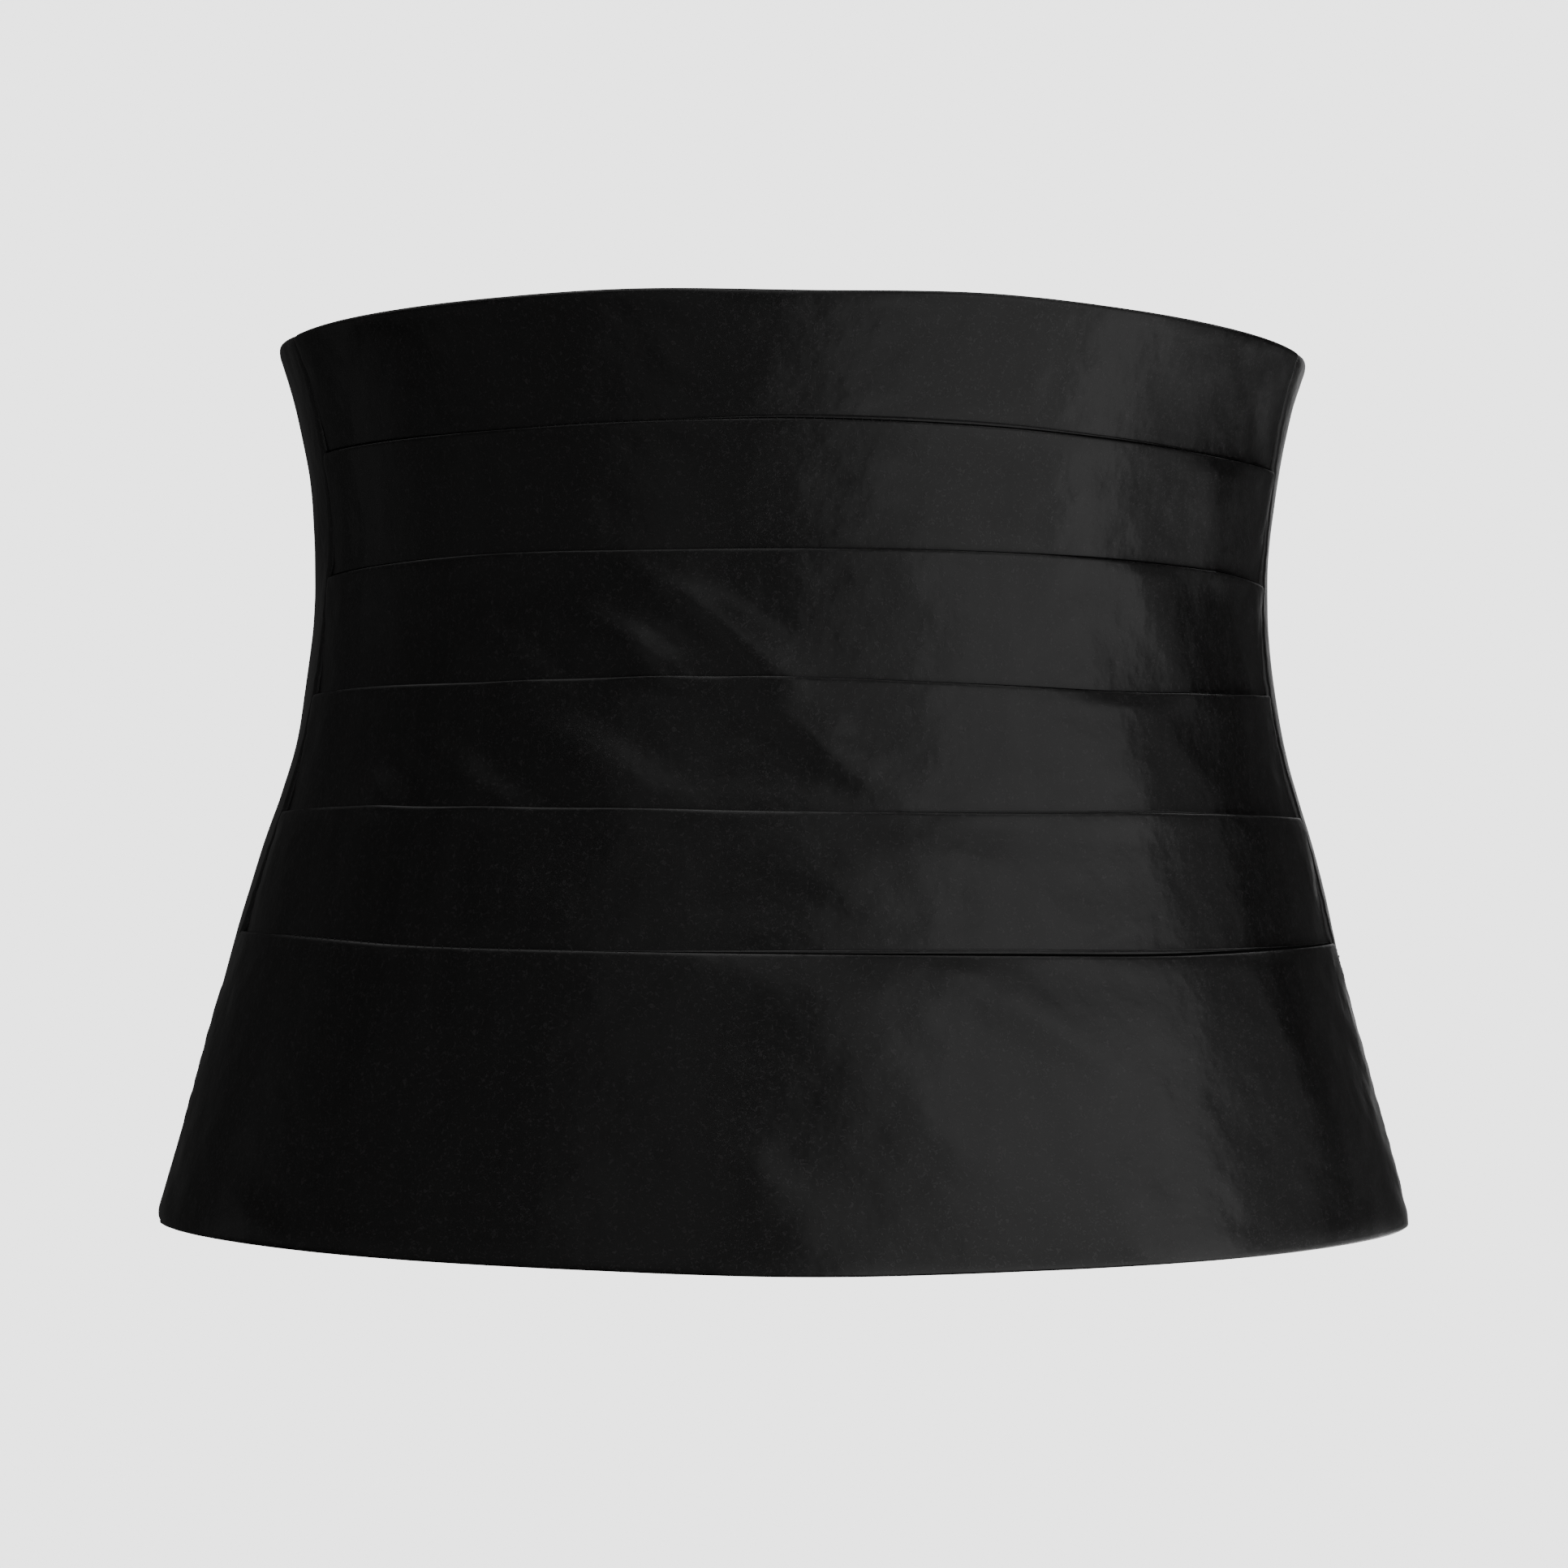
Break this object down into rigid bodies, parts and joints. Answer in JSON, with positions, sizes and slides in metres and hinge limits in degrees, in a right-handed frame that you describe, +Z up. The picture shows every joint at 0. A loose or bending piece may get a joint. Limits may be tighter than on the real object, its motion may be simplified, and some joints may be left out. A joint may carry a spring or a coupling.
{
  "type": "cummerbund",
  "caption": "Wide fitted black satin cummerbund, closed round the waist, with shingled pleat tiers across the front and a plain back.",
  "frame": {"origin": "centre of the waist opening at its narrowest level, where the wearer's waist holds the cummerbund", "axes": "+Z up, towards the ribs; the pleated front faces -Y; +X is to the right as seen from in front"},
  "size_m": [0.3225, 0.2228, 0.2292],
  "materials": {
    "satin": "black satin",
    "back_satin": "black satin",
    "fastening_tape": "matt black tape"
  },
  "bodies": {
    "root": {"pleat_tier_1": "satin", "pleat_tier_2": "satin", "pleat_tier_3": "satin", "pleat_tier_4": "satin", "pleat_tier_5": "satin", "pleat_tier_6": "satin", "back_panel_left": "back_satin", "back_panel_right": "back_satin", "back_fastening": "fastening_tape"}
  },
  "joints": []
}
